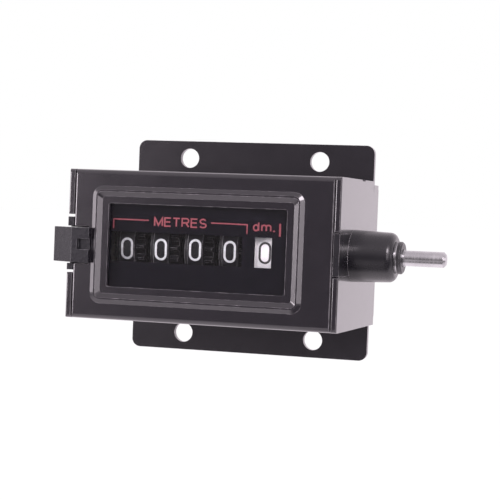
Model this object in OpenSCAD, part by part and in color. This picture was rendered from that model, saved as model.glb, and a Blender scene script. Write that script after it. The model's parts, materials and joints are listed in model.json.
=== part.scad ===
// Five digit reset counter with a through drive shaft, built as an assembly.
// Millimetres. X runs along the drive shaft, Y runs from the dial to the mounting
// plate, Z is up. The origin is the centre of the mounting plate's back face.

/* [Case] */
// Width of the case over both end plates
case_w = 74; // [72:0.5:84]
// Height of the end plates
case_h = 39.4; // [38.5:0.1:44]
// Depth of the end plates, from the dial side to their rear edge
case_d = 41.8; // [41.5:0.1:50]
// Sheet thickness of the end plates
end_t = 1.6; // [1.2:0.1:2]
// Wall thickness of the front cover
cover_t = 1.2; // [0.8:0.1:1.5]
// Outer radius of the cover's top and bottom folds
fold_r = 1.3; // [0.8:0.1:2]
// Rounding of the cover's side edges
edge_r = 0.5; // [0.2:0.1:0.8]

/* [Dial window] */
// Sideways place of the window's centre
window_x = -1.3; // [-1.8:0.1:-1]
// Width of the window opening
window_w = 48.7; // [46:0.1:50]
// Height of the window opening
window_h = 21.9; // [18:0.1:23]
// Width of the flat ring round the opening
ring_w = 1.8; // [1:0.1:2.4]
// Width of the slope from the ring up to the crest
inner_slope = 1.25; // [0.8:0.05:1.6]
// Width of the crest of the raised frame
crest_w = 0.4; // [0.3:0.05:0.8]
// Width of the slope from the crest down to the face
outer_slope = 1.45; // [0.8:0.05:1.8]
// Height of the crest above the face
bezel_h = 0.55; // [0.3:0.05:1]
// Corner radius of the raised frame
bezel_r = 3.2; // [2.8:0.1:5]
// Thickness of the clear lens
lens_t = 0.8; // [0.5:0.1:1]
// Thickness of the printed mask
mask_t = 0.8; // [0.5:0.1:1]
// Width of the units aperture
aperture_w = 4.7; // [4:0.1:6]
// Height of the apertures
aperture_h = 7.8; // [6.5:0.1:9]
// How far the long aperture runs past the centre of its outer wheels
aperture_end = 3.9; // [3:0.1:4.2]

/* [Number wheels] */
// Distance from the face to the wheel axis
axis_y = 15.65; // [15.5:0.05:17]
// Height of the wheel axis
axis_z = -0.3; // [-0.8:0.1:0.8]
// Sideways place of the middle wheel
middle_x = -2.6; // [-2.8:0.1:-2.4]
// Distance from one wheel to the next
pitch = 9.5; // [9.4:0.05:9.6]
// Radius of the numbered band
wheel_r = 11.6; // [11:0.1:11.8]
// Half width of the numbered band
band_half = 2.1; // [1.8:0.05:2.2]
// Radius of the drive shaft's free end
shaft_r = 2; // [1.5:0.05:2.2]
// Radius of the drive shaft inside the case
journal_r = 2.25; // [2.25:0.05:2.4]
// Distance from the case to the free end of the shaft
shaft_out = 24.3; // [20:0.1:34]

/* [Carry gears] */
// Teeth on the ring of each driven wheel
ring_teeth = 20; // [20]
// Teeth on each transfer pinion
pinion_teeth = 8; // [8]
// Gear module
gear_m = 0.93; // [0.91:0.01:0.94]
// Height of a tooth above the pitch circle
addendum = 0.7; // [0.5:0.05:0.75]
// Depth of a tooth below the pitch circle
dedendum = 1.1; // [1:0.05:1.2]
// Half thickness of a tooth at its root
tooth_root = 0.72; // [0.6:0.01:0.75]
// Half thickness of a tooth at its tip
tooth_tip = 0.29; // [0.22:0.01:0.32]
// Radius of the pinion shaft
pinion_pin_r = 1; // [0.8:0.05:1.1]

/* [Reset gear] */
// Smallest radius of a heart cam
heart_min = 3.7; // [3.5:0.1:4.2]
// Largest radius of a heart cam
heart_max = 6.4; // [5.5:0.1:6.5]
// Length of a hammer, from the comb's axis to the wheel axis
hammer_reach = 12.5; // [12.3:0.1:13]
// Thickness of a hammer
hammer_t = 0.6; // [0.4:0.05:0.65]
// Radius of the comb's rod
comb_r = 1.5; // [1.2:0.05:1.6]
// Turn of the comb and of the key when the key is pressed, in degrees
press_deg = 12; // [8:1:12]

/* [Reset key] */
// Height of the key
key_h = 9.2; // [8:0.1:9.4]
// How far the key stands out past the end plate
key_out = 4.9; // [3.5:0.1:6]
// How far the key stands proud of the face
key_proud = 1.5; // [1:0.1:2]
// Width of the key's flat front
key_front_w = 4.8; // [4.4:0.1:4.8]
// Slope of the finger face against the face of the case, in degrees
finger_slope = 30; // [20:1:35]
// Height of the square notch in the front of the key
notch_h = 2.9; // [2:0.1:4]
// Height of the key's centre
key_z = -0.35; // [-0.8:0.05:0.8]

/* [Bearing boss] */
// Length of the boss outside the end plate
boss_len = 11.5; // [9:0.1:14]
// Radius of the boss at the end plate
boss_r = 6.8; // [6.6:0.05:7.5]
// Radius of the boss at its free end
boss_tip_r = 6.45; // [5.8:0.05:6.5]
// Rounding of the boss's free end
boss_round = 1.9; // [1:0.1:2]
// Height of the boss's foot in the end plate's slot
foot_h = 10.8; // [10:0.1:11.4]

/* [Mounting plate] */
// Width of the mounting plate
plate_w = 70; // [66:0.5:90]
// Height of the mounting plate
plate_h = 60; // [58:0.5:80]
// Thickness of the mounting plate
plate_t = 1.5; // [1:0.1:3]
// Corner radius of the mounting plate
plate_r = 2.4; // [1:0.1:5]
// Sideways spacing of the mounting holes
hole_dx = 38.6; // [34:0.1:60]
// Distance from the mounting holes to the plate's top and bottom edges
hole_edge = 4.9; // [4:0.1:5.2]
// Radius of the mounting holes
hole_r = 2.75; // [2.2:0.05:3]
// Thickness of the rear cover's outer slab
slab_t = 2.6; // [2:0.1:4]
// Height of the case's centre above the centre of the hole pattern
case_lift = 0.2; // [0:0.1:1.5]

/* [Hidden] */
$fn = 64;

// Clearances
run_c = 0.05;    // radial running clearance of a shaft in its bore
seat_c = 0.02;   // radial clearance of a pin that is pressed home
side_c = 0.3;    // side clearance between moving faces
cut = 1;         // how far a cut runs past a face

// Case
half_w = case_w / 2;
half_h = case_h / 2;
in_x = half_w - end_t;
cover_half = in_x - 0.1;
back_y = case_d + slab_t + plate_t;
hole_dz = plate_h - 2 * hole_edge;
inner_d = 1.6;
tray_y = case_d - inner_d;
colour_case = [0.16, 0.16, 0.17];
colour_steel = [0.72, 0.72, 0.74];

// Window
ring_level = 0.1;
lens_margin = 1.6;
lens_y = cover_t;
mask_y = lens_y + lens_t + 0.05;
frame_y = mask_y + mask_t;

// Wheels, counted from the units wheel on the right to the left
wheel_x = [for (i = [0:4]) middle_x + (2 - i) * pitch];
shoulder_half = 3;
shoulder_drop = 0.45;
rim_in = 10.3;
web_half = 0.6;
wheel_hub_r = 3.2;
hub_right = 4.95;
hub_left = pitch - hub_right - side_c;
gear_x0 = band_half;
gear_x1 = 4;
skirt_in = 7.2;
lock_r = 8.1;
lock_t = 0.9;
notch_r = 1.8;
notch_out = 0.6;
carry_h = 0.2;
carry_deg = 27;
carry_w = 0.8;

// Gears
ring_pitch_r = gear_m * ring_teeth / 2;
pinion_pitch_r = gear_m * pinion_teeth / 2;
gear_centre = ring_pitch_r + pinion_pitch_r;
pinion_y = axis_y + gear_centre;
pinion_x0 = band_half + side_c;
pinion_step = 4.1;
pinion_x1 = pitch - shoulder_half - side_c;

// Chassis
left_wall_x = wheel_x[4] - hub_left - 1;
right_wall_x = wheel_x[0] + hub_right + 3.6;
frame_t = 1.5;
frame_half_h = 14.5;
frame_corner = 3;

// Screws that hold the plate and the rear cover on the chassis
screw_x = [left_wall_x + 7, right_wall_x - 7];
screw_z = [-9, 9];
screw_r = 1.45;
head_r = 2.7;
head_d = 1.3;
thread_y = tray_y - frame_t;

// Reset comb
comb_y = axis_y + hammer_reach;
comb_z = axis_z + 8.2;
comb_hub_r = 2.6;
hammer_x = gear_x1 + side_c;
hammer_w = 3;
hammer_rise = 1.3;
heel_back = 9.2;
heel_w = 3;
heel_drop = heel_back * sin(press_deg);

// Reset key
key_pivot = [-half_w + 4, 5];
key_c = 0.35;
key_lip = 0.8;
notch_w = 3.2;
key_pin_r = 0.8;
arm_t = 1.4;
arm_x0 = -in_x + 1.7;
nose_y = comb_y - heel_back;
nose_travel = (nose_y - key_pivot[1]) * sin(press_deg);
nose_slope = atan(heel_drop / nose_travel);
nose_x1 = left_wall_x - frame_t - side_c - nose_travel;
nose_half = 0.7;
nose_top = comb_z + 4.2;
heel_x0 = arm_x0 + arm_t + 0.1;
heel_x1 = left_wall_x - frame_t - side_c;
heel_top = comb_z + 0.4;
left_slot_h = 15.4;
left_slot_d = 9.7;
bracket_h = left_slot_h - 1.4;
cheek_y = left_slot_d - 0.2;

// Drive side
boss_end = half_w + boss_len;
shaft_end = half_w + shaft_out;
shaft_left = left_wall_x - frame_t - 1.2;
clip_t = 0.6;
clip_groove = 0.4;
clip_x = shaft_left + 0.3;
bush_r = 3;
bush_nose_r = 4.2;
bush_nose = 1.7;
washer_t = 0.5;
collar_r = 6;
collar_flange = 1.4;
collar_x = wheel_x[0] + hub_right + 0.4;
collar_end = right_wall_x - side_c - 0.5;

module from_front() translate([0, -back_y, case_lift]) children();

// Sweep a drawing of the YZ plane along X
module along_x(x0, x1)
  translate([x0, 0, 0]) rotate([90, 0, 90]) linear_extrude(x1 - x0) children();

// Sweep a drawing of the XZ plane along Y
module along_y(y0, y1)
  translate([0, y1, 0]) rotate([90, 0, 0]) linear_extrude(y1 - y0) children();

// Sweep a drawing of the XY plane along Z
module along_z(z0, z1)
  translate([0, 0, z0]) linear_extrude(z1 - z0) children();

module rod_x(x0, x1, r) translate([x0, 0, 0]) rotate([0, 90, 0]) cylinder(h = x1 - x0, r = r);

// Turn a profile of [radius, x] points about the X axis
module turned_x(points) rotate([0, 90, 0]) rotate_extrude() polygon(points);

module round_rect(w, h, r) {
  square([w - 2 * r, h], center = true);
  square([w, h - 2 * r], center = true);
  for (sx = [-1, 1], sz = [-1, 1])
    translate([sx * (w / 2 - r), sz * (h / 2 - r)]) circle(r);
}

module at_axis() translate([0, axis_y, axis_z]) children();

// A frame step whose size runs from one rounded rectangle to another
module window_taper(grow_a, r_a, y_a, grow_b, r_b, y_b)
  hull() {
    along_y(y_a - 0.01, y_a) translate([window_x, 0])
      round_rect(window_w + 2 * grow_a, window_h + 2 * grow_a, r_a, $fn = 32);
    along_y(y_b, y_b + 0.01) translate([window_x, 0])
      round_rect(window_w + 2 * grow_b, window_h + 2 * grow_b, r_b, $fn = 32);
  }

module front_cover() {
  crest_in = ring_w + inner_slope;
  crest_out = crest_in + crest_w;
  base_out = crest_out + outer_slope;
  color(colour_case) from_front() difference() {
    union() {
      intersection() {
        along_x(-cover_half, cover_half) cover_section();
        along_z(-half_h, half_h) cover_plan();
      }
      window_taper(crest_out, bezel_r - outer_slope, -bezel_h + 0.01, base_out, bezel_r, 0.2);
    }
    window_taper(crest_in, bezel_r - outer_slope - crest_w, -bezel_h,
      ring_w, 0.8, ring_level - 0.01);
    window_taper(crest_in, bezel_r - outer_slope - crest_w, -bezel_h - cut,
      crest_in, bezel_r - outer_slope - crest_w, -bezel_h);
    along_y(-cut, cover_t + cut) translate([window_x, 0]) round_rect(window_w, window_h, 0.6);
    along_y(-cut, cover_t + cut) key_opening();
  }
}

// Section of the cover: a channel with round folds
module cover_section() difference() {
  union() {
    translate([fold_r, -half_h]) square([case_d - fold_r, case_h]);
    translate([0, -half_h + fold_r]) square([fold_r + cut, case_h - 2 * fold_r]);
    for (s = [-1, 1]) translate([fold_r, s * (half_h - fold_r)]) circle(fold_r);
  }
  translate([cover_t, -half_h + cover_t]) square([case_d, case_h - 2 * cover_t]);
}

// Opening for the key at the cover's left edge, with rounded mouth corners
module key_opening() {
  mouth_r = 0.8;
  w = cover_half + key_right() - key_lip + key_c;
  h = key_h + 2 * key_c;
  translate([-cover_half, key_z]) {
    translate([-cut, -h / 2]) square([w + cut, h]);
    difference() {
      translate([-cut, -h / 2 - mouth_r]) square([cut + mouth_r, h + 2 * mouth_r]);
      for (s = [-1, 1]) translate([mouth_r, s * (h / 2 + mouth_r)]) circle(mouth_r);
    }
  }
}

// Plan of the cover, with rounded side edges
module cover_plan() {
  translate([-cover_half, edge_r]) square([2 * cover_half, case_d - edge_r]);
  translate([-cover_half + edge_r, -bezel_h]) square([2 * (cover_half - edge_r), case_d]);
  for (s = [-1, 1]) translate([s * (cover_half - edge_r), edge_r]) circle(edge_r);
}

module window_lens() color([0.8, 0.85, 0.9, 0.35]) from_front()
  along_y(lens_y, lens_y + lens_t) translate([window_x, 0])
    round_rect(window_w + 2 * lens_margin, window_h + 2 * lens_margin, 1);

module dial_mask() color([0.05, 0.05, 0.06]) from_front()
  along_y(mask_y, mask_y + mask_t) difference() {
    translate([left_wall_x - frame_t, -frame_half_h])
      square([right_wall_x - left_wall_x + 2 * frame_t, 2 * frame_half_h]);
    translate([wheel_x[0], axis_z]) square([aperture_w, aperture_h], center = true);
    translate([wheel_x[4] - aperture_end, axis_z - aperture_h / 2])
      square([wheel_x[1] - wheel_x[4] + 2 * aperture_end, aperture_h]);
  }

// Outline of an end plate in the YZ plane, before its slot is cut
module end_outline() {
  step_y = case_d - 5.2;
  step_h = 1;
  slit_w = 0.3;
  slit_h = 3;
  nose_r = 1;
  notch = [22.6, 3.4, 0.35];
  difference() {
    union() {
      translate([nose_r, -half_h]) square([case_d - nose_r, case_h]);
      translate([0, -half_h + nose_r]) square([case_d, case_h - 2 * nose_r]);
      for (s = [-1, 1]) translate([nose_r, s * (half_h - nose_r)]) circle(nose_r);
    }
    translate([step_y, half_h - step_h]) square([case_d, case_h]);
    translate([step_y - slit_w, half_h - slit_h]) square([slit_w, case_h]);
    translate([notch[0], half_h - notch[2]]) square([notch[1], case_h]);
  }
}

// Slot that is open to the front, with rounded mouth corners
module slot_mouth(h, r) difference() {
  translate([-cut, -h / 2 - r]) square([cut + r, h + 2 * r]);
  for (s = [-1, 1]) translate([r, s * (h / 2 + r)]) circle(r);
}

module end_plan() {
  edge = 0.35;
  translate([0, edge]) square([end_t, case_d]);
  translate([edge, 0]) square([end_t - 2 * edge, case_d]);
  for (x = [edge, end_t - edge]) translate([x, edge]) circle(edge);
}

module left_end_plate() color(colour_case) from_front() intersection() {
  along_x(-half_w, -in_x) difference() {
    end_outline();
    translate([-cut, -left_slot_h / 2]) square([left_slot_d + cut, left_slot_h]);
    slot_mouth(left_slot_h, 0.6);
  }
  along_z(-case_h, case_h) translate([-half_w, 0]) end_plan();
}

module right_end_plate() {
  slot_h = foot_h + 0.2;
  color(colour_case) from_front() intersection() {
    along_x(in_x, half_w) difference() {
      end_outline();
      translate([-cut, -slot_h / 2]) square([axis_y + cut, slot_h]);
      translate([axis_y, axis_z]) circle(slot_h / 2 - abs(axis_z));
      slot_mouth(slot_h, 0.6);
    }
    along_z(-case_h, case_h) translate([in_x, 0]) end_plan();
  }
}

module screw_places() for (x = screw_x, z = screw_z) translate([x, 0, z]) children();

// Turn a profile of [radius, y] points about the Y axis
module turned_y(points) rotate([-90, 0, 0]) rotate_extrude() polygon(points);

module rear_cover() color([0.13, 0.13, 0.14]) from_front() difference() {
  union() {
    along_y(tray_y, case_d) round_rect(2 * cover_half, case_h - 2 * cover_t - 0.2, 1);
    along_y(case_d, case_d + slab_t) round_rect(case_w - 1, case_h - 1, 2);
  }
  screw_places() translate([0, tray_y - cut, 0]) rotate([-90, 0, 0])
    cylinder(h = slab_t + inner_d + 2 * cut, r = screw_r + 0.15);
}

module mounting_plate() color(colour_case) from_front() difference() {
  along_y(back_y - plate_t, back_y) translate([0, -case_lift]) difference() {
    round_rect(plate_w, plate_h, plate_r);
    for (sx = [-1, 1], sz = [-1, 1])
      translate([sx * hole_dx / 2, sz * hole_dz / 2]) circle(hole_r);
  }
  screw_places() turned_y([[0, back_y - plate_t - cut], [screw_r + 0.15, back_y - plate_t - cut],
    [screw_r + 0.15, back_y - head_d], [head_r + seat_c, back_y], [head_r + seat_c, back_y + cut],
    [0, back_y + cut]]);
}

module rear_screws() {
  slot_w = 0.6;
  slot_d = 0.5;
  color(colour_steel) from_front() screw_places() difference() {
    turned_y([[0, thread_y], [screw_r, thread_y], [screw_r, back_y - head_d],
      [head_r, back_y], [0, back_y]]);
    for (a = [0, 90]) translate([0, back_y, 0]) rotate([0, a, 0])
      cube([1.2 * head_r, 2 * slot_d, slot_w], center = true);
  }
}

// Side wall of the chassis in the YZ plane
module chassis_side() {
  difference() {
    polygon([[frame_y, -frame_half_h], [frame_y, frame_half_h],
      [tray_y - frame_corner, frame_half_h], [tray_y, frame_half_h - frame_corner],
      [tray_y, frame_corner - frame_half_h], [tray_y - frame_corner, -frame_half_h]]);
    translate([axis_y, axis_z]) circle(journal_r + run_c);
    translate([pinion_y, axis_z]) circle(pinion_pin_r + seat_c);
    translate([comb_y, comb_z]) circle(comb_r + run_c);
  }
}

module chassis() {
  lug_z = spring_z0();
  color(colour_steel) from_front() difference() {
    union() {
      along_x(left_wall_x - frame_t, left_wall_x) chassis_side();
      along_x(right_wall_x, right_wall_x + frame_t) chassis_side();
      translate([left_wall_x - frame_t, thread_y, frame_corner - frame_half_h])
        cube([right_wall_x - left_wall_x + 2 * frame_t, frame_t,
          2 * (frame_half_h - frame_corner)]);
      translate([spring_x() - 2.2, nose_y - 2.2, lug_z - 1.2])
        cube([left_wall_x - spring_x() + 2.2, 4.4, 1.2]);
    }
    screw_places() translate([0, thread_y - cut, 0]) rotate([-90, 0, 0])
      cylinder(h = frame_t + 2 * cut, r = screw_r + seat_c);
  }
}

module bearing_boss() {
  flange_t = 1.6;
  flange_h = 17;
  arc_n = 8;
  tip = [for (i = [0:arc_n]) let (a = 90 * i / arc_n)
    [boss_tip_r - boss_round + boss_round * cos(a), boss_end - boss_round + boss_round * sin(a)]];
  color([0.14, 0.14, 0.15]) from_front() difference() {
    union() {
      at_axis() turned_x(concat([[bush_r + seat_c, half_w], [boss_r, half_w]], tip,
        [[bush_r + seat_c, boss_end]]));
      along_x(in_x, half_w) {
        translate([0, -foot_h / 2]) square([axis_y, foot_h]);
        translate([axis_y, axis_z]) circle(foot_h / 2 - abs(axis_z));
      }
      along_x(in_x - flange_t, in_x) translate([cover_t + 0.1, -flange_h / 2])
        square([axis_y + 8, flange_h]);
      at_axis() rod_x(right_wall_x + frame_t, in_x, bush_r + 2);
    }
    at_axis() rod_x(right_wall_x, boss_end + cut, bush_r + seat_c);
  }
}

module shaft_bush() color([0.1, 0.1, 0.1]) from_front() at_axis()
  turned_x([[journal_r + run_c, right_wall_x + frame_t + 2], [bush_r, right_wall_x + frame_t + 2],
    [bush_r, boss_end + washer_t], [bush_nose_r, boss_end + washer_t],
    [bush_nose_r, boss_end + bush_nose - 0.4], [bush_nose_r - 0.4, boss_end + bush_nose],
    [journal_r + run_c, boss_end + bush_nose]]);

module bush_washer() color(colour_steel) from_front() at_axis()
  turned_x([[bush_r + seat_c, boss_end], [bush_nose_r - 0.35, boss_end],
    [bush_nose_r - 0.35, boss_end + washer_t], [bush_r + seat_c, boss_end + washer_t]]);

module drive_shaft() {
  tip = 0.6;
  step_x = boss_end + bush_nose + 0.3;
  groove_r = journal_r - clip_groove;
  color(colour_steel) from_front() at_axis()
    turned_x([[0, shaft_left], [journal_r - 0.2, shaft_left], [journal_r, shaft_left + 0.2],
      [journal_r, clip_x], [groove_r, clip_x], [groove_r, clip_x + clip_t],
      [journal_r, clip_x + clip_t], [journal_r, step_x], [shaft_r, step_x],
      [shaft_r, shaft_end - tip], [shaft_r - tip, shaft_end], [0, shaft_end]]);
}

module shaft_clip() {
  mouth = 2.8;
  color(colour_steel) from_front() at_axis() along_x(clip_x + seat_c, clip_x + clip_t - seat_c)
    difference() {
      circle(journal_r + 1.1);
      circle(journal_r - clip_groove + seat_c);
      translate([0, -mouth / 2]) square([2 * journal_r, mouth]);
    }
}

module clutch_collar() color([0.75, 0.62, 0.3]) from_front() at_axis()
  turned_x([[journal_r + seat_c, collar_x], [collar_r, collar_x],
    [collar_r, collar_x + collar_flange], [collar_r - 2.4, collar_x + collar_flange],
    [collar_r - 2.4, collar_end], [journal_r + seat_c, collar_end]]);

module clutch_washer() color(colour_steel) from_front() at_axis()
  turned_x([[journal_r + seat_c, collar_x - 0.35], [collar_r - 1.4, collar_x - 0.35],
    [collar_r - 1.4, collar_x - run_c], [journal_r + seat_c, collar_x - run_c]]);

// Outline of a gear: straight flanks, the first tooth at the angle first
function gear_outline(n, pitch_r, first) = [for (i = [0:n - 1], k = [0:3])
  let (r = (k == 0 || k == 3) ? pitch_r - dedendum : pitch_r + addendum,
    half = (k == 0 || k == 3) ? tooth_root : tooth_tip,
    a = first + 360 * i / n + (k < 2 ? -1 : 1) * asin(half / r))
  [r * cos(a), r * sin(a)]];

// Heart: the radius grows evenly from the low point to the high point
function heart_outline(n) = [for (i = [0:n - 1]) let (a = 360 * i / n,
  away = a > 180 ? 360 - a : a, r = heart_min + (heart_max - heart_min) * away / 180)
  [r * cos(a + 90), r * sin(a + 90)]];

// One number wheel about its own centre, with or without the carry ring
module number_wheel(carry_ring) difference() {
  union() {
    turned_x([[journal_r + run_c, -hub_left], [lock_r, -hub_left], [lock_r, lock_t - hub_left],
      [wheel_hub_r, lock_t - hub_left], [wheel_hub_r, -web_half], [rim_in, -web_half],
      [rim_in, -shoulder_half], [wheel_r - shoulder_drop, -shoulder_half],
      [wheel_r - 0.2, -band_half - 0.1], [wheel_r, -band_half], [wheel_r, band_half - 0.15],
      [wheel_r - 0.15, band_half], [rim_in, band_half], [rim_in, web_half],
      [wheel_hub_r, web_half], [wheel_hub_r, hub_right], [journal_r + run_c, hub_right]]);
    for (a = [-carry_deg, carry_deg]) rotate([a, 0, 0])
      translate([-hub_left, lock_r - 0.6, -carry_w / 2]) cube([lock_t, 0.6 + carry_h, carry_w]);
    along_x(gear_x1 - 0.4, hub_right) difference() {
      polygon(heart_outline(72));
      circle(journal_r + run_c);
    }
    if (carry_ring) along_x(web_half - 0.2, gear_x1) difference() {
      circle(ring_pitch_r - dedendum + 0.05);
      circle(skirt_in);
    }
    if (carry_ring) along_x(gear_x0 - 0.5, gear_x1) difference() {
      polygon(gear_outline(ring_teeth, ring_pitch_r, 0));
      circle(skirt_in);
    }
  }
  translate([0, lock_r + notch_out, 0]) rod_x(-hub_left - cut, lock_t - hub_left, notch_r);
}

module wheel_units() color([0.93, 0.93, 0.92]) from_front() at_axis()
  translate([wheel_x[0], 0, 0]) number_wheel(false);
module wheel_tens() black_wheel(1);
module wheel_hundreds() black_wheel(2);
module wheel_thousands() black_wheel(3);
module wheel_ten_thousands() black_wheel(4);
module black_wheel(i) color([0.06, 0.06, 0.07]) from_front() at_axis()
  translate([wheel_x[i], 0, 0]) number_wheel(true);

// Pinion that carries from the wheel on its right to wheel i
module pinion(i) color([0.9, 0.88, 0.8]) from_front() translate([wheel_x[i], pinion_y, axis_z])
  difference() {
    union() {
      along_x(pinion_x0, pinion_step)
        polygon(gear_outline(pinion_teeth, pinion_pitch_r, 180 + 180 / pinion_teeth));
      along_x(pinion_step - 0.1, pinion_x1)
        polygon(gear_outline(pinion_teeth / 2, pinion_pitch_r, 180 + 180 / pinion_teeth));
    }
    rod_x(0, pitch, pinion_pin_r + run_c);
  }
module pinion_tens() pinion(1);
module pinion_hundreds() pinion(2);
module pinion_thousands() pinion(3);
module pinion_ten_thousands() pinion(4);

module pinion_shaft() color(colour_steel) from_front() translate([0, pinion_y, axis_z])
  rod_x(left_wall_x - frame_t, right_wall_x + frame_t, pinion_pin_r);

// Hammer in the YZ plane about the comb's axis
module hammer() {
  tip_z = 9.5 + axis_z - comb_z;
  tip_y = -hammer_reach;
  half_w = hammer_w / 2;
  polygon([[0.5, comb_r], [-2, comb_hub_r - 0.2], [tip_y + half_w, tip_z + hammer_rise + 0.9],
    [tip_y - half_w, tip_z + hammer_rise], [tip_y - half_w, tip_z], [tip_y + half_w, tip_z],
    [tip_y + half_w + 1, tip_z + 0.5], [-2, -comb_hub_r + 0.2], [0.5, -comb_r]]);
  circle(comb_hub_r);
}

module reset_comb() color([0.35, 0.35, 0.37]) from_front() translate([0, comb_y, comb_z]) {
  difference() {
    union() {
      rod_x(heel_x0, right_wall_x + frame_t, comb_r);
      for (x = wheel_x) along_x(x + hammer_x, x + hammer_x + hammer_t) hammer();
      along_x(heel_x0, heel_x1) heel();
    }
    translate([nose_x1, 0, heel_top - comb_z]) rotate([0, -nose_slope, 0])
      translate([-20, -heel_back - 3, 0]) cube([40, 6, 10]);
  }
}
module heel() {
  polygon([[1, comb_hub_r], [-heel_back - heel_w / 2, 2.4], [-heel_back - heel_w / 2, -1.2],
    [1, -comb_hub_r]]);
  circle(comb_hub_r);
}

// Return spring: a wire with six sides on a helix
function spring_x() = heel_x0 + 1.3;
function spring_z0() = -4;
spring_r = 1.15;
wire_r = 0.2;
spring_turns = 7;
module comb_spring() {
  steps = 14;
  sides = 6;
  spring_z1 = comb_z - 1.5;
  n = spring_turns * steps;
  rise = (spring_z1 - spring_z0() - 2 * wire_r - 0.1) / n;
  points = [for (i = [0:n], k = [0:sides - 1]) let (a = 360 * i / steps, b = 360 * k / sides,
    r = spring_r + wire_r * cos(b))
    [r * cos(a), r * sin(a), wire_r + 0.05 + rise * i + wire_r * sin(b)]];
  skin = [for (i = [0:n - 1], k = [0:sides - 1]) let (a = i * sides, j = (k + 1) % sides)
    [a + k, a + sides + k, a + sides + j, a + j]];
  ends = [[for (k = [0:sides - 1]) k], [for (k = [sides - 1:-1:0]) n * sides + k]];
  color(colour_steel) from_front() translate([spring_x(), nose_y, spring_z0()])
    polyhedron(points, concat(skin, ends));
}

function key_left() = -half_w - key_out;
function key_ridge() = key_right() - key_front_w;
function key_right() = -half_w + 6.5;
function finger_back() = -key_proud + (key_ridge() - key_left()) * tan(finger_slope);

// Plan of the key: flat front, sloping finger face, and the shank to the pivot
module key_plan() {
  pad_t = 1.5;
  shank = key_pin_r + 1.3;
  polygon([[key_right(), -key_proud], [key_ridge(), -key_proud],
    [key_left(), finger_back()],
    [key_left() + pad_t * sin(finger_slope), finger_back() + pad_t * cos(finger_slope)],
    [key_pivot[0] - shank, pad_t - 0.6], [key_pivot[0] - shank, key_pivot[1]],
    [key_right() - key_lip, key_pivot[1]], [key_right() - key_lip, -key_c],
    [key_right(), -key_c]]);
  translate(key_pivot) circle(shank);
}

// Side view of the key's inner arm, from the pivot up to the nose
module key_arm() polygon([[key_pivot[1], key_z - key_h / 2 + 1],
  [key_pivot[1], key_z + key_h / 2 - 1], [cheek_y + 0.7, key_z + key_h / 2 - 0.4],
  [nose_y - nose_half - 3, nose_top], [nose_y + nose_half, nose_top],
  [nose_y + nose_half, comb_z - 2], [nose_y - nose_half, comb_z - 2],
  [key_pivot[1] + 3, key_z - key_h / 2 + 1]]);

module reset_key() color([0.2, 0.2, 0.21]) from_front() difference() {
  union() {
    along_z(key_z - key_h / 2, key_z + key_h / 2) key_plan();
    along_x(arm_x0, arm_x0 + arm_t) key_arm();
    along_y(nose_y - nose_half, nose_y + nose_half)
      polygon([[arm_x0, nose_top], [nose_x1, nose_top], [nose_x1, heel_top],
        [arm_x0, heel_top]]);
  }
  translate([nose_x1, 0, heel_top + side_c / cos(nose_slope)]) rotate([0, -nose_slope, 0])
    translate([-20, nose_y - nose_half - cut, -20]) cube([40, 20, 20]);
  translate([key_right() - notch_w, -key_proud - cut, key_z + 0.25 - notch_h / 2])
    cube([notch_w + cut, cut + 1, notch_h]);
  translate([key_pivot[0], key_pivot[1], -key_h]) cylinder(h = 2 * key_h, r = key_pin_r + run_c);
}

module key_pin() color(colour_steel) from_front()
  translate([key_pivot[0], key_pivot[1], -bracket_h / 2]) cylinder(h = bracket_h, r = key_pin_r);

module key_bracket() {
  flange_t = 1.5;
  flange_h = bracket_h + 5;
  flange_y = cheek_y + 2.8;
  gap_h = key_h + 2 * key_c;
  cheek_right = key_pivot[0] + 3.2;
  inner_y = cover_t + 0.05;
  color([0.12, 0.12, 0.13]) from_front() difference() {
    union() {
      translate([-half_w, 0, -bracket_h / 2]) cube([end_t, cheek_y, bracket_h]);
      translate([-in_x, inner_y, -bracket_h / 2])
        cube([cheek_right + in_x, cheek_y - inner_y, bracket_h]);
      translate([-in_x, inner_y, -flange_h / 2]) cube([flange_t, flange_y - inner_y, flange_h]);
    }
    translate([-half_w - cut, -cut, key_z - gap_h / 2])
      cube([cheek_right + half_w + 2 * cut, cheek_y + 2 * cut, gap_h]);
    translate([key_pivot[0], key_pivot[1], -bracket_h])
      cylinder(h = 2 * bracket_h, r = key_pin_r + seat_c);
  }
}

front_cover();
window_lens();
dial_mask();
left_end_plate();
right_end_plate();
rear_cover();
mounting_plate();
rear_screws();
chassis();
bearing_boss();
shaft_bush();
bush_washer();
drive_shaft();
shaft_clip();
clutch_collar();
clutch_washer();
wheel_units();
wheel_tens();
wheel_hundreds();
wheel_thousands();
wheel_ten_thousands();
pinion_tens();
pinion_hundreds();
pinion_thousands();
pinion_ten_thousands();
pinion_shaft();
reset_comb();
comb_spring();
reset_key();
key_pin();
key_bracket();
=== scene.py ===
import json
import math

import bmesh
import bpy
from mathutils import Matrix, Vector


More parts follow.
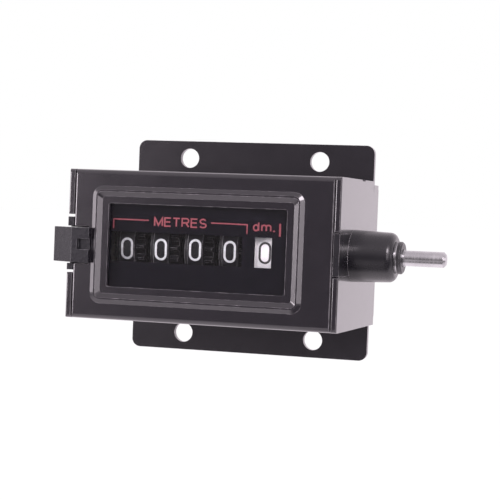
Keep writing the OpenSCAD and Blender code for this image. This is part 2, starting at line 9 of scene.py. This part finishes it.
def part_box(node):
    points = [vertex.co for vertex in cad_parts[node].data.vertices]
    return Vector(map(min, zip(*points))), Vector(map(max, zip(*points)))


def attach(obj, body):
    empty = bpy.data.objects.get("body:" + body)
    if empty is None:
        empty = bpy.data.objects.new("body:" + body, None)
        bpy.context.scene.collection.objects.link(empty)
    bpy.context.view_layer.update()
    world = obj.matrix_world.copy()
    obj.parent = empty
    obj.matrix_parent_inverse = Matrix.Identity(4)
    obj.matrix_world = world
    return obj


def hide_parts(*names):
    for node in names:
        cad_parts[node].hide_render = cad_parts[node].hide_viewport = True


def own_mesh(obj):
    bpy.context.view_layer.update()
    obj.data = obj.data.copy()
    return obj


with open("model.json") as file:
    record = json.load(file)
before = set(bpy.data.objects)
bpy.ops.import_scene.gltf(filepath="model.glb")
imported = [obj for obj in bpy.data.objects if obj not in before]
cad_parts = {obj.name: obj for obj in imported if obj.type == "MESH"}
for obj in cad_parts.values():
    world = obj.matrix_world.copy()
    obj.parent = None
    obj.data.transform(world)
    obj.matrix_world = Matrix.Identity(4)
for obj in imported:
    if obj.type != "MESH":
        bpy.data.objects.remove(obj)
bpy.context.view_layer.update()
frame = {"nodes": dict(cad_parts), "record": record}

MM = 0.001

# Camera of the photograph: place in millimetres, angles in degrees
CAMERA_AT = Vector((131.56, -427.70, 9.57))
CAMERA_YAW = 17.175
CAMERA_PITCH = 1.295
CAMERA_ROLL = 2.258
CAMERA_CLIP = 10 * MM
FOCAL_PX = 1566.9
FRAME_PX = 500
SENSOR = 36

# Number wheels from the units up: ink, slot, and degrees by which the digit stands low
WHEELS = {
    "wheel_units": ("black_ink", "wheel_black", 0.3),
    "wheel_tens": ("white_ink", "wheel_white", 1.0),
    "wheel_hundreds": ("white_ink", "wheel_white", 0.7),
    "wheel_thousands": ("white_ink", "wheel_white", 2.1),
    "wheel_ten_thousands": ("worn_ink", "wheel_white", 2.5),
}
# From a wheel's right end to the middle of its numerals, and the radius they lie on: millimetres
NUMERALS_FROM_RIGHT = 4.95
WHEEL_R = 11.6
DIGIT_W = 3.35
DIGIT_H = 5.75
DIGIT_STROKE = 0.58
DIGIT_TURN = 36

# Thickness of the ink. The strokes lie on levels, so that crossing ones share no plane
PRINT_H = 0.03
STROKE_STEP = 0.004
STROKE_LEVELS = 4
STROKE_PIECE = 0.5
MITRE_LIMIT = 0.45
ARC_STEPS = 14
# Points closer than this are one point
TOUCHING = 1e-6

# Print on the dial mask: millimetres from the middle of the case
BRACKETS = [[(-24.8, 4.4), (-24.8, 6.85), (-15.0, 6.82)],
            [(2.2, 6.8), (12.0, 6.75), (12.0, 4.35)]]
BRACKET_STROKE = 0.31
BAR = [[(20.8, 4.05), (20.8, 7.3)]]
BAR_STROKE = 0.5
# Word, left end, base line, and gap between its letters
UNIT_WORDS = [("METRES", -13.5, 5.32, 0.3), ("dm.", 13.55, 5.12, 0.46)]
CAP_H = 2.5
LETTER_STROKE = 0.38

# Reset key, and the dark strips of painted shade in the gaps of its opening: millimetres in the
# shared frame
KEY_Z = -0.15
KEY_H = 9.2
KEY_GAP = 0.35
KEY_RUN = 0.06
SHADE_STRIP_LEFT, SHADE_STRIP_RIGHT = -36.6, -31.4
SHADE_STRIP_FRONT, SHADE_STRIP_BACK = -44.9, -43.4
SHADE_STRIP_ROUND = 0.06

# Edges: rounding of the paint, and the colours of the painted highlights along the edges
BEVEL_SAMPLES = 8
EDGE_HIGHLIGHT_R = 0.1 * MM
EDGE_HIGHLIGHT = (0.42, 0.4, 0.42)
DIM_EDGE_HIGHLIGHT = (0.24, 0.24, 0.25)
# How well the rounded and the true normal agree where the painted edge highlight is full, and where
# it ends
EDGE_HIGHLIGHT_ALIGN = (0.955, 0.998)
# Scale that stretches a texture round the shaft, as the turning tool runs
ROUND_SHAFT = (1, 0.04, 0.04)

# Studio: the room's brightness in reflections, from in front of the dial to behind and above it
LIGHT = (1.0, 0.905, 0.975)
ROOM_FRONT = 0.2
ROOM_ABOVE = 0.85
ROOM_BACK = 1.05
# Parts of a ray's direction over which the brightness changes
ROOM_Y = (-0.6, 0.5)
ROOM_Z = (0.0, 0.62)

# Floor: metres
FLOOR_Z = -0.11
FLOOR_SIZE = 60
# Shares of the camera's rays and of the reflections that see it glow, and its glow to the camera
FLOOR_SHARE = 0.85
FLOOR_GLOSS = 0.9
FLOOR_WHITE = 1.06
# Painted reflection: the floor's glow in reflections near the object and far from it, and the
# distances between
FLOOR_NEAR, FLOOR_FAR = 1.35, 0.12
FLOOR_REACH = (0.14, 0.5)
FLOOR_BEHIND_Y = (0, 0.4)
# Painted shade: a dark corner in the floor's glow in reflections, in front of the shaft: the share
# of brightness that stays, and its soft borders
FLOOR_CORNER = 0.05
CORNER_X = (-0.01, 0.03)
CORNER_Y = (-0.1, -0.06)

# Softboxes: degrees to the dial's left, degrees up, metres away, width and height, radiance
LAMP_TARGET = (0, -0.03, 0)
LAMPS = {
    "left_lamp": (48.0, 4, 0.95, (0.6, 0.27), 10.8),
    "far_left_lamp": (77, 8, 0.95, (0.28, 0.5), 2.8),
    "right_lamp": (-34, 2, 0.95, (0.38, 0.5), 2.75),
    "side_lamp": (-80, 6, 0.9, (0.3, 0.4), 1.3),
    "front_lamp": (-32, 30, 0.9, (0.45, 0.25), 13.0),
}


def add_object(name, data):
    piece = bpy.data.objects.new(name, data)
    bpy.context.scene.collection.objects.link(piece)
    return piece


# Node trees

def new_material(name):
    material = bpy.data.materials.new(name)
    material.use_nodes = True
    tree = material.node_tree
    return material, tree, tree.nodes["Principled BSDF"]


def set_inputs(shader, values):
    for key, value in values.items():
        shader.inputs[key].default_value = value


def object_coords(tree, scale=(1, 1, 1)):
    coords = tree.nodes.new("ShaderNodeTexCoord")
    mapping = tree.nodes.new("ShaderNodeMapping")
    mapping.inputs["Scale"].default_value = scale
    tree.links.new(coords.outputs["Object"], mapping.inputs["Vector"])
    return mapping.outputs["Vector"]


def axes_of(tree, space):
    """X, Y and Z of a texture coordinate, by their names."""
    coords = tree.nodes.new("ShaderNodeTexCoord")
    axes = tree.nodes.new("ShaderNodeSeparateXYZ")
    tree.links.new(coords.outputs[space], axes.inputs["Vector"])
    return axes.outputs


def noise(tree, vector, scale, detail=3.0, roughness=0.5):
    node = tree.nodes.new("ShaderNodeTexNoise")
    set_inputs(node, {"Scale": scale, "Detail": detail, "Roughness": roughness})
    tree.links.new(vector, node.inputs["Vector"])
    return node.outputs["Fac"]


def spread(tree, source, low, high, start=0.35, end=0.65):
    """Maps start to end, by default a noise's middle range, onto low to high."""
    node = tree.nodes.new("ShaderNodeMapRange")
    set_inputs(node, {"From Min": start, "From Max": end, "To Min": low, "To Max": high})
    tree.links.new(source, node.inputs["Value"])
    return node.outputs["Result"]


def mix_colors(tree, factor, dark, light):
    """Mixes from dark, a colour or another output, to light."""
    node = tree.nodes.new("ShaderNodeMix")
    node.data_type = "RGBA"
    if isinstance(dark, tuple):
        node.inputs["A"].default_value = (*dark, 1)
    else:
        tree.links.new(dark, node.inputs["A"])
    node.inputs["B"].default_value = (*light, 1)
    tree.links.new(factor, node.inputs["Factor"])
    return node.outputs["Result"]


def mix_shaders(tree, factor, first, second):
    node = tree.nodes.new("ShaderNodeMixShader")
    tree.links.new(factor, node.inputs["Fac"])
    tree.links.new(first, node.inputs[1])
    tree.links.new(second, node.inputs[2])
    return node.outputs["Shader"]


def calculate(tree, operation, first, second):
    """Joins two values, each of them a number or another node's output."""
    node = tree.nodes.new("ShaderNodeMath")
    node.operation = operation
    for socket, value in zip(node.inputs, (first, second)):
        if isinstance(value, (int, float)):
            socket.default_value = value
        else:
            tree.links.new(value, socket)
    return node.outputs["Value"]


def rounded_normal(tree, radius):
    node = tree.nodes.new("ShaderNodeBevel")
    node.samples = BEVEL_SAMPLES
    node.inputs["Radius"].default_value = radius
    return node.outputs["Normal"]


def edge_highlight_mask(tree, vector, radius, grain):
    """1 along sharp edges, broken up by a noise, and 0 on the flats: where the painted edge
    highlights go.
    """
    true = tree.nodes.new("ShaderNodeNewGeometry")
    align = tree.nodes.new("ShaderNodeVectorMath")
    align.operation = "DOT_PRODUCT"
    tree.links.new(rounded_normal(tree, radius), align.inputs[0])
    tree.links.new(true.outputs["True Normal"], align.inputs[1])
    edge = spread(tree, align.outputs["Value"], 1, 0, *EDGE_HIGHLIGHT_ALIGN)
    patches = spread(tree, noise(tree, vector, grain, detail=4), 0.25, 1, start=0.42, end=0.6)
    return calculate(tree, "MULTIPLY", edge, patches)


def add_bump(tree, shader, height, distance, strength, edge=0.0):
    """Bump from a height texture, over edges that are rounded by a radius."""
    node = tree.nodes.new("ShaderNodeBump")
    set_inputs(node, {"Strength": strength, "Distance": distance})
    tree.links.new(height, node.inputs["Height"])
    if edge:
        tree.links.new(rounded_normal(tree, edge), node.inputs["Normal"])
    tree.links.new(node.outputs["Normal"], shader.inputs["Normal"])


# Materials: a noise of scale 1000 has features of about a millimetre

def stove_enamel(name, dark, light, roughness, coat, coat_roughness, grain, edge):
    """Black paint: a fine orange peel, faint blotches, a clear gloss and painted highlights along
    the edges.
    """
    material, tree, shader = new_material(name)
    vector = object_coords(tree)
    blotches = noise(tree, vector, scale=160, detail=4)
    peel = noise(tree, vector, grain)
    paint = mix_colors(tree, spread(tree, blotches, 0, 1), dark, light)
    # painted highlight: the edges are lightened, broken up by a noise
    enamel_highlight = edge_highlight_mask(tree, vector, EDGE_HIGHLIGHT_R, grain=500)
    tree.links.new(mix_colors(tree, enamel_highlight, paint, EDGE_HIGHLIGHT), shader.inputs["Base Color"])
    clouds = noise(tree, vector, scale=240, detail=2)
    sheen = spread(tree, clouds, roughness * 0.94, roughness * 1.06)
    tree.links.new(sheen, shader.inputs["Roughness"])
    set_inputs(shader, {"Coat Weight": coat, "Coat Roughness": coat_roughness, "IOR": 1.5})
    add_bump(tree, shader, peel, distance=0.002 * MM, strength=0.4, edge=edge)
    return material


def moulded(name, dark, light, roughness, grain, depth, edge=0.1 * MM, specular=0.5, highlight_r=0):
    """Moulded plastic with an even spark-eroded texture, and painted highlights along its edges
    where a radius for them is given.
    """
    material, tree, shader = new_material(name)
    vector = object_coords(tree)
    clouds = noise(tree, vector, scale=grain * 0.4)
    surface = mix_colors(tree, spread(tree, clouds, 0, 1), dark, light)
    # painted highlight along the edges, broken up by a noise
    if highlight_r:
        plastic_highlight = edge_highlight_mask(tree, vector, highlight_r, grain=900)
        surface = mix_colors(tree, plastic_highlight, surface, DIM_EDGE_HIGHLIGHT)
    tree.links.new(surface, shader.inputs["Base Color"])
    handling = noise(tree, vector, scale=700, detail=4)
    sheen = spread(tree, handling, roughness * 0.9, roughness * 1.1)
    tree.links.new(sheen, shader.inputs["Roughness"])
    set_inputs(shader, {"Specular IOR Level": specular})
    sparks = noise(tree, vector, grain, detail=4, roughness=0.6)
    add_bump(tree, shader, sparks, depth, strength=0.8, edge=edge)
    return material


def turned_metal(name, dark, light, roughness, turning=(1, 1, 1), edge=0.06 * MM):
    """Bare metal with fine tool marks, stretched as the tool ran."""
    material, tree, shader = new_material(name)
    marks = noise(tree, object_coords(tree, turning), scale=1500)
    clouds = noise(tree, object_coords(tree), scale=300, detail=4)
    tree.links.new(mix_colors(tree, spread(tree, clouds, 0, 1), dark, light),
                   shader.inputs["Base Color"])
    tree.links.new(spread(tree, marks, roughness * 0.7, roughness * 1.3),
                   shader.inputs["Roughness"])
    set_inputs(shader, {"Metallic": 1.0})
    add_bump(tree, shader, marks, distance=0.004 * MM, strength=0.6, edge=edge)
    return material


def clear_lens(name):
    """Clear acrylic; it throws no shadow, so the lamps reach the wheels."""
    material, tree, shader = new_material(name)
    set_inputs(shader, {"Base Color": (1, 1, 1, 1), "Roughness": 0.0, "IOR": 1.45,
                        "Transmission Weight": 1.0})
    waves = noise(tree, object_coords(tree), scale=90, detail=2)
    add_bump(tree, shader, waves, distance=0.002 * MM, strength=0.3)
    light_path = tree.nodes.new("ShaderNodeLightPath")
    clear = tree.nodes.new("ShaderNodeBsdfTransparent")
    surface = mix_shaders(tree, light_path.outputs["Is Shadow Ray"], shader.outputs["BSDF"],
                          clear.outputs["BSDF"])
    tree.links.new(surface, tree.nodes["Material Output"].inputs["Surface"])
    return material


def printed(name, thin, full):
    """Printed ink, a little thinner in places."""
    material, tree, shader = new_material(name)
    vector = object_coords(tree)
    cover = spread(tree, noise(tree, vector, scale=1800, detail=4), 0, 1)
    tree.links.new(mix_colors(tree, cover, thin, full), shader.inputs["Base Color"])
    set_inputs(shader, {"Roughness": 0.5})
    screen = noise(tree, vector, scale=5000, detail=2)
    add_bump(tree, shader, screen, distance=0.003 * MM, strength=0.5)
    return material


materials = {
    "case_black": stove_enamel(
        "case_black", (0.008, 0.0068, 0.0098), (0.01, 0.0085, 0.0118), roughness=0.21,
        coat=1.0, coat_roughness=0.08, grain=2200, edge=0.06 * MM),
    "boss_black": stove_enamel(
        "boss_black", (0.006, 0.0055, 0.008), (0.0085, 0.008, 0.011), roughness=0.28,
        coat=0.4, coat_roughness=0.2, grain=2600, edge=0.15 * MM),
    "dial_black": moulded(
        "dial_black", (0.0025, 0.0025, 0.0045), (0.0035, 0.003, 0.0055), roughness=0.8,
        grain=1200, depth=0.0005 * MM, specular=0.05),
    "lens_clear": clear_lens("lens_clear"),
    "key_black": moulded(
        "key_black", (0.01, 0.01, 0.0125), (0.0165, 0.0165, 0.0195), roughness=0.28,
        grain=3000, depth=0.01 * MM, specular=0.24, highlight_r=0.1 * MM),
    "wheel_white": moulded(
        "wheel_white", (0.78, 0.79, 0.8), (0.85, 0.86, 0.87), roughness=0.4,
        grain=1500, depth=0.004 * MM),
    "wheel_black": moulded(
        "wheel_black", (0.004, 0.004, 0.005), (0.006, 0.006, 0.0075), roughness=0.45,
        grain=3000, depth=0.002 * MM, specular=0.12, highlight_r=0.14 * MM),
    "pinion_nylon": moulded(
        "pinion_nylon", (0.62, 0.58, 0.48), (0.72, 0.68, 0.58), roughness=0.45,
        grain=1500, depth=0.004 * MM),
    "steel": turned_metal(
        "steel", (0.5, 0.5, 0.51), (0.6, 0.6, 0.61), roughness=0.24, turning=ROUND_SHAFT),
    "zinc_steel": turned_metal(
        "zinc_steel", (0.5, 0.5, 0.47), (0.64, 0.63, 0.58), roughness=0.36),
    "brass": turned_metal(
        "brass", (0.62, 0.46, 0.2), (0.76, 0.58, 0.3), roughness=0.25, turning=ROUND_SHAFT),
    "bush_black": moulded(
        "bush_black", (0.018, 0.018, 0.02), (0.028, 0.027, 0.03), roughness=0.3,
        grain=1800, depth=0.004 * MM, highlight_r=0.09 * MM),
}
inks = {
    "white_ink": printed("white_ink", (0.39, 0.415, 0.42), (0.51, 0.54, 0.55)),
    # greyer ink, for the ten-thousands wheel
    "worn_ink": printed("worn_ink", (0.25, 0.265, 0.27), (0.42, 0.44, 0.45)),
    "black_ink": printed("black_ink", (0.02, 0.02, 0.022), (0.04, 0.038, 0.042)),
    "red_ink": printed("red_ink", (0.16, 0.02, 0.03), (0.23, 0.034, 0.046)),
}


def dress_cad_nodes():
    slots = {part["node"]: part["material_slot"] for part in frame["record"]["subparts"]}
    for name, node in frame["nodes"].items():
        node.data.materials.clear()
        node.data.materials.append(materials[slots[name]])


# Strokes of the numerals and letters

def arc(x, y, rx, ry, start, end):
    angles = [math.radians(start + (end - start) * i / ARC_STEPS) for i in range(ARC_STEPS + 1)]
    return [(x + rx * math.cos(a), y + ry * math.sin(a)) for a in angles]


def numeral_paths(digit, width, height):
    """Paths of a numeral round its centre; a path that ends where it starts is closed."""
    r = width / 2
    top = height / 2
    mid = height * 0.04
    bowl = (top + mid) / 2
    cap = (top - mid) / 2
    paths = {
        0: [arc(0, top - r, r, r, 0, 180) + arc(0, r - top, r, r, 180, 360) + [(r, top - r)]],
        1: [[(-0.7 * r, top - 0.75 * r), (0.15 * r, top), (0.15 * r, -top)]],
        2: [arc(0, top - r, r, r, 165, -35) + [(-r, -top), (r, -top)]],
        3: [arc(0, mid + cap, r * 0.92, cap, 160, -90) + arc(0, mid - bowl, r, bowl, 90, -160)],
        4: [[(r, -0.28 * top), (-r, -0.28 * top), (0.4 * r, top), (0.4 * r, -top)]],
        5: [[(0.85 * r, top), (-0.75 * r, top), (-0.85 * r, 0.08 * top)]
            + arc(0, mid - bowl, r, bowl, 125, -160)],
        6: [arc(0, mid - bowl, r, bowl, 180, -180)
            + [(-r, 0.25 * top)] + arc(0, top - r, r, r, 180, 35)],
        7: [[(-r, top), (r, top), (0, 0), (-0.35 * r, -top)]],
        8: [arc(0, mid + cap, r * 0.86, cap, 0, 360), arc(0, mid - bowl, r, bowl, 0, 360)],
    }
    paths[9] = [[(-x, -y) for x, y in path] for path in paths[6]]
    return paths[digit]


# Letters: width in millimetres, and paths in a cell of width 1 and height 1
LETTERS = {
    "M": (2.5, [[(0, 0), (0, 1), (0.5, 0.08), (1, 1), (1, 0)]]),
    "E": (2.0, [[(1, 1), (0, 1), (0, 0), (1, 0)], [(0, 0.52), (0.92, 0.52)]]),
    "T": (2.2, [[(0, 1), (1, 1)], [(0.5, 1), (0.5, 0)]]),
    "R": (2.2, [[(0, 0), (0, 1), (0.6, 1)] + arc(0.62, 0.74, 0.34, 0.26, 90, -90)
                 + [(0, 0.48)], [(0.55, 0.48), (1, 0)]]),
    "S": (2.2, [arc(0.5, 0.74, 0.42, 0.26, 25, 270) + arc(0.5, 0.24, 0.46, 0.24, 90, -155)]),
    "d": (1.75, [arc(0.46, 0.35, 0.46, 0.35, 0, 360), [(0.96, 1), (0.96, 0)]]),
    "m": (2.75, [[(0, 0), (0, 0.7)], arc(0.25, 0.45, 0.25, 0.24, 180, 0) + [(0.5, 0)],
                 arc(0.75, 0.45, 0.25, 0.24, 180, 0) + [(1, 0)]]),
    ".": (0.5, [[(0, 0), (1, 0)]]),
}


def word_paths(word, x, z, gap):
    """Paths of a word whose first letter starts at x, on a base line at z."""
    paths = []
    rise = CAP_H - LETTER_STROKE
    for letter in word:
        width, strokes = LETTERS[letter]
        inset = 0 if letter == "." else LETTER_STROKE / 2
        inner = width - 2 * inset
        for stroke in strokes:
            paths.append([(x + inset + px * inner, z + LETTER_STROKE / 2 + py * rise)
                          for px, py in stroke])
        x += width + gap
    return paths


def outline(path, width):
    """Left and right edges of a stroke, mitred at its corners."""
    closed = math.dist(path[0], path[-1]) < TOUCHING
    points = path[:-1] if closed else path
    count = len(points)
    left, right = [], []
    for i, (x, y) in enumerate(points):
        before = points[i - 1] if closed or i else points[i]
        after = points[(i + 1) % count] if closed or i < count - 1 else points[i]
        into = Vector((x - before[0], y - before[1]))
        out = Vector((after[0] - x, after[1] - y))
        into = into.normalized() if into.length > TOUCHING else out.normalized()
        out = out.normalized() if out.length > TOUCHING else into
        side = Vector((-(into.y + out.y), into.x + out.x)).normalized()
        across = max(MITRE_LIMIT, side.dot(Vector((-into.y, into.x))))
        offset = side * (width / 2 / across)
        left.append((x + offset.x, y + offset.y))
        right.append((x - offset.x, y - offset.y))
    return left, right, closed


def fine(path, step):
    """The same path with no stretch longer than step."""
    points = [path[0]]
    for start, end in zip(path, path[1:]):
        pieces = max(1, math.ceil(math.dist(start, end) / step))
        for k in range(1, pieces + 1):
            t = k / pieces
            points.append((start[0] + (end[0] - start[0]) * t, start[1] + (end[1] - start[1]) * t))
    return [p for i, p in enumerate(points) if i == 0 or math.dist(p, points[i - 1]) > TOUCHING]


def ink(name, strokes, place, material, body, width):
    """One printed piece: each stroke, a pair of path and turn, is a thin closed ribbon.
    place(x, y, h, turn) lays a point on the surface, at a height of h over it."""
    mesh = bpy.data.meshes.new(name)
    form = bmesh.new()
    for number, (stroke, turn) in enumerate(strokes):
        left, right, closed = outline(fine(stroke, STROKE_PIECE), width)
        top = PRINT_H + STROKE_STEP * (number % STROKE_LEVELS)
        rows = []
        for a, b in zip(left, right):
            rows.append([form.verts.new(place(*point, height, turn) * MM)
                         for point, height in ((a, top), (b, top), (b, 0), (a, 0))])
        pairs = list(zip(rows, rows[1:] + rows[:1])) if closed else list(zip(rows, rows[1:]))
        for first, second in pairs:
            for k in range(4):
                form.faces.new((first[k], first[k - 1], second[k - 1], second[k]))
        if not closed:
            form.faces.new(rows[0])
            form.faces.new(rows[-1][::-1])
    bmesh.ops.recalc_face_normals(form, faces=form.faces)
    form.to_mesh(mesh)
    form.free()
    mesh.materials.append(material)
    piece = add_object(name, mesh)
    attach(piece, body)
    return piece


def print_wheel(node, ink_name, slot, stands_low):
    """The ten numerals round one wheel; the next one comes down from above."""
    low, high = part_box(node)
    centre = Vector((high[0] / MM - NUMERALS_FROM_RIGHT, (low[1] + high[1]) / 2 / MM,
                     (low[2] + high[2]) / 2 / MM))

    def on_band(x, y, h, turn):
        angle = math.radians(turn) + y / WHEEL_R
        radius = WHEEL_R + h
        return centre + Vector((x, -radius * math.cos(angle), radius * math.sin(angle)))

    strokes = [(path, DIGIT_TURN * digit - stands_low) for digit in range(10)
               for path in numeral_paths(digit, DIGIT_W - DIGIT_STROKE, DIGIT_H - DIGIT_STROKE)]
    piece = ink(node + "_numerals", strokes, on_band, inks[ink_name], node + "_body", DIGIT_STROKE)


def print_mask():
    """Unit words and brackets on the front of the dial mask."""
    low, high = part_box("dial_mask")
    centre_z = (low[2] + high[2]) / 2 / MM

    def on_mask(x, y, h, _turn):
        return Vector((x, low[1] / MM - h, centre_z + y))

    words = [path for word in UNIT_WORDS for path in word_paths(*word)]
    for name, paths, width in (("mask_brackets", BRACKETS, BRACKET_STROKE),
                               ("mask_bar", BAR, BAR_STROKE),
                               ("mask_words", words, LETTER_STROKE)):
        piece = ink(name, [(path, 0) for path in paths], on_mask, inks["red_ink"], "case", width)


def shade_key_gaps():
    """Dark strips of painted shade that close the gaps above and below the reset key."""
    felt = moulded("felt", (0.006, 0.006, 0.007), (0.014, 0.014, 0.015), roughness=0.9,
                   grain=4000, depth=0.03 * MM, specular=0.1)
    for name, side in (("key_felt_top", 1), ("key_felt_bottom", -1)):
        inner = KEY_Z + side * (KEY_H / 2 + KEY_RUN)
        outer = KEY_Z + side * (KEY_H / 2 + KEY_GAP)
        low = Vector((SHADE_STRIP_LEFT, SHADE_STRIP_FRONT, min(inner, outer)))
        high = Vector((SHADE_STRIP_RIGHT, SHADE_STRIP_BACK, max(inner, outer)))
        form = bmesh.new()
        bmesh.ops.create_cube(form, size=1)
        for vert in form.verts:
            vert.co = (low + high) / 2 + Vector([c * s for c, s in zip(vert.co, high - low)])
        bmesh.ops.bevel(form, geom=form.edges, offset=SHADE_STRIP_ROUND, segments=2, affect="EDGES")
        bmesh.ops.scale(form, vec=(MM, MM, MM), verts=form.verts)
        mesh = bpy.data.meshes.new(name)
        form.to_mesh(mesh)
        form.free()
        mesh.materials.append(felt)
        piece = add_object(name, mesh)
        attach(piece, "case")


def coil_comb_spring():
    """The comb's spring, copied with a mesh of its own and joined to the case in place of the part.
    """
    coil = frame["nodes"]["comb_spring"]
    piece = add_object("comb_spring_coil", coil.data.copy())
    piece.matrix_world = coil.matrix_world
    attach(piece, "case")
    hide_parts("comb_spring")
    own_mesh(piece)


# Studio

def make_camera():
    yaw, pitch, roll = (math.radians(a) for a in (CAMERA_YAW, CAMERA_PITCH, CAMERA_ROLL))
    right = Vector((math.cos(yaw), math.sin(yaw), 0))
    ahead = Vector((-math.sin(yaw) * math.cos(pitch), math.cos(yaw) * math.cos(pitch),
                    -math.sin(pitch)))
    up = right.cross(ahead)
    rolled_right = right * math.cos(roll) + up * math.sin(roll)
    rolled_up = up * math.cos(roll) - right * math.sin(roll)
    matrix = Matrix((rolled_right, rolled_up, -ahead)).transposed().to_4x4()
    matrix.translation = CAMERA_AT * MM
    data = bpy.data.cameras.new("camera")
    data.sensor_width = SENSOR
    data.lens = FOCAL_PX / FRAME_PX * SENSOR
    data.clip_start = CAMERA_CLIP
    camera = add_object("camera", data)
    camera.matrix_world = matrix
    bpy.context.scene.camera = camera


def softbox(name, azimuth, elevation, distance, size, radiance):
    """A rectangular lamp of an even radiance that faces the target."""
    a, e = math.radians(azimuth), math.radians(elevation)
    data = bpy.data.lights.new(name, "AREA")
    data.shape = "RECTANGLE"
    data.size, data.size_y = size
    data.energy = radiance * math.pi * size[0] * size[1]
    data.color = LIGHT
    lamp = add_object(name, data)
    lamp.location = (LAMP_TARGET[0] - math.sin(a) * math.cos(e) * distance,
                     LAMP_TARGET[1] - math.cos(a) * math.cos(e) * distance,
                     LAMP_TARGET[2] + math.sin(e) * distance)
    away = lamp.location - Vector(LAMP_TARGET)
    lamp.rotation_euler = away.to_track_quat("Z", "Y").to_euler()
    lamp.visible_camera = False


def make_world():
    """White to the camera; in reflections the room is dark in front and bright behind and above."""
    world = bpy.data.worlds.new("studio")
    bpy.context.scene.world = world
    world.use_nodes = True
    tree = world.node_tree
    tree.nodes.clear()
    axes = axes_of(tree, "Generated")
    level = calculate(tree, "MAXIMUM", spread(tree, axes["Y"], ROOM_FRONT, ROOM_BACK, *ROOM_Y),
                      spread(tree, axes["Z"], ROOM_FRONT, ROOM_ABOVE, *ROOM_Z))
    room = tree.nodes.new("ShaderNodeBackground")
    room.inputs["Color"].default_value = (*LIGHT, 1)
    tree.links.new(level, room.inputs["Strength"])
    white = tree.nodes.new("ShaderNodeBackground")
    set_inputs(white, {"Color": (1, 1, 1, 1), "Strength": 1.0})
    light_path = tree.nodes.new("ShaderNodeLightPath")
    surface = mix_shaders(tree, light_path.outputs["Is Camera Ray"], room.outputs["Background"],
                          white.outputs["Background"])
    out = tree.nodes.new("ShaderNodeOutputWorld")
    tree.links.new(surface, out.inputs["Surface"])


def make_floor():
    """A pale floor that glows evenly to the camera; in reflections it glows in a painted pattern of
    light: a pool near the object, a dark corner in front of the shaft, and brighter behind.
    """
    mesh = bpy.data.meshes.new("floor")
    half = FLOOR_SIZE / 2
    corners = [(-half, -half), (half, -half), (half, half), (-half, half)]
    mesh.from_pydata([(x, y, FLOOR_Z) for x, y in corners], [], [(0, 1, 2, 3)])
    floor = add_object("floor", mesh)
    material, tree, shader = new_material("floor_white")
    set_inputs(shader, {"Base Color": (0.9, 0.9, 0.9, 1), "Roughness": 0.9,
                        "Specular IOR Level": 0.0})
    coords = tree.nodes.new("ShaderNodeTexCoord")
    distance = tree.nodes.new("ShaderNodeVectorMath")
    distance.operation = "LENGTH"
    tree.links.new(coords.outputs["Object"], distance.inputs[0])
    axes = axes_of(tree, "Object")
    corner = calculate(tree, "MULTIPLY",
                       spread(tree, axes["X"], 0, 1 - FLOOR_CORNER, *CORNER_X),
                       spread(tree, axes["Y"], 1, 0, *CORNER_Y))
    pool = spread(tree, distance.outputs["Value"], FLOOR_NEAR, FLOOR_FAR, *FLOOR_REACH)
    lit = calculate(tree, "MULTIPLY", calculate(tree, "SUBTRACT", 1, corner), pool)
    behind = spread(tree, axes["Y"], 0, ROOM_BACK, *FLOOR_BEHIND_Y)
    mirrored = tree.nodes.new("ShaderNodeEmission")
    mirrored.inputs["Color"].default_value = (*LIGHT, 1)
    tree.links.new(calculate(tree, "MAXIMUM", lit, behind), mirrored.inputs["Strength"])
    seen = tree.nodes.new("ShaderNodeEmission")
    seen.inputs["Strength"].default_value = FLOOR_WHITE
    light_path = tree.nodes.new("ShaderNodeLightPath")
    surface = shader.outputs["BSDF"]
    for ray, share, glow in (("Is Glossy Ray", FLOOR_GLOSS, mirrored),
                             ("Is Camera Ray", FLOOR_SHARE, seen)):
        part = calculate(tree, "MULTIPLY", light_path.outputs[ray], share)
        surface = mix_shaders(tree, part, surface, glow.outputs["Emission"])
    tree.links.new(surface, tree.nodes["Material Output"].inputs["Surface"])
    mesh.materials.append(material)


dress_cad_nodes()
for wheel, printing in WHEELS.items():
    print_wheel(wheel, *printing)
print_mask()
shade_key_gaps()
coil_comb_spring()
make_camera()
make_world()
make_floor()
for lamp_name, setting in LAMPS.items():
    softbox(lamp_name, *setting)
bpy.context.scene.view_settings.view_transform = "Standard"
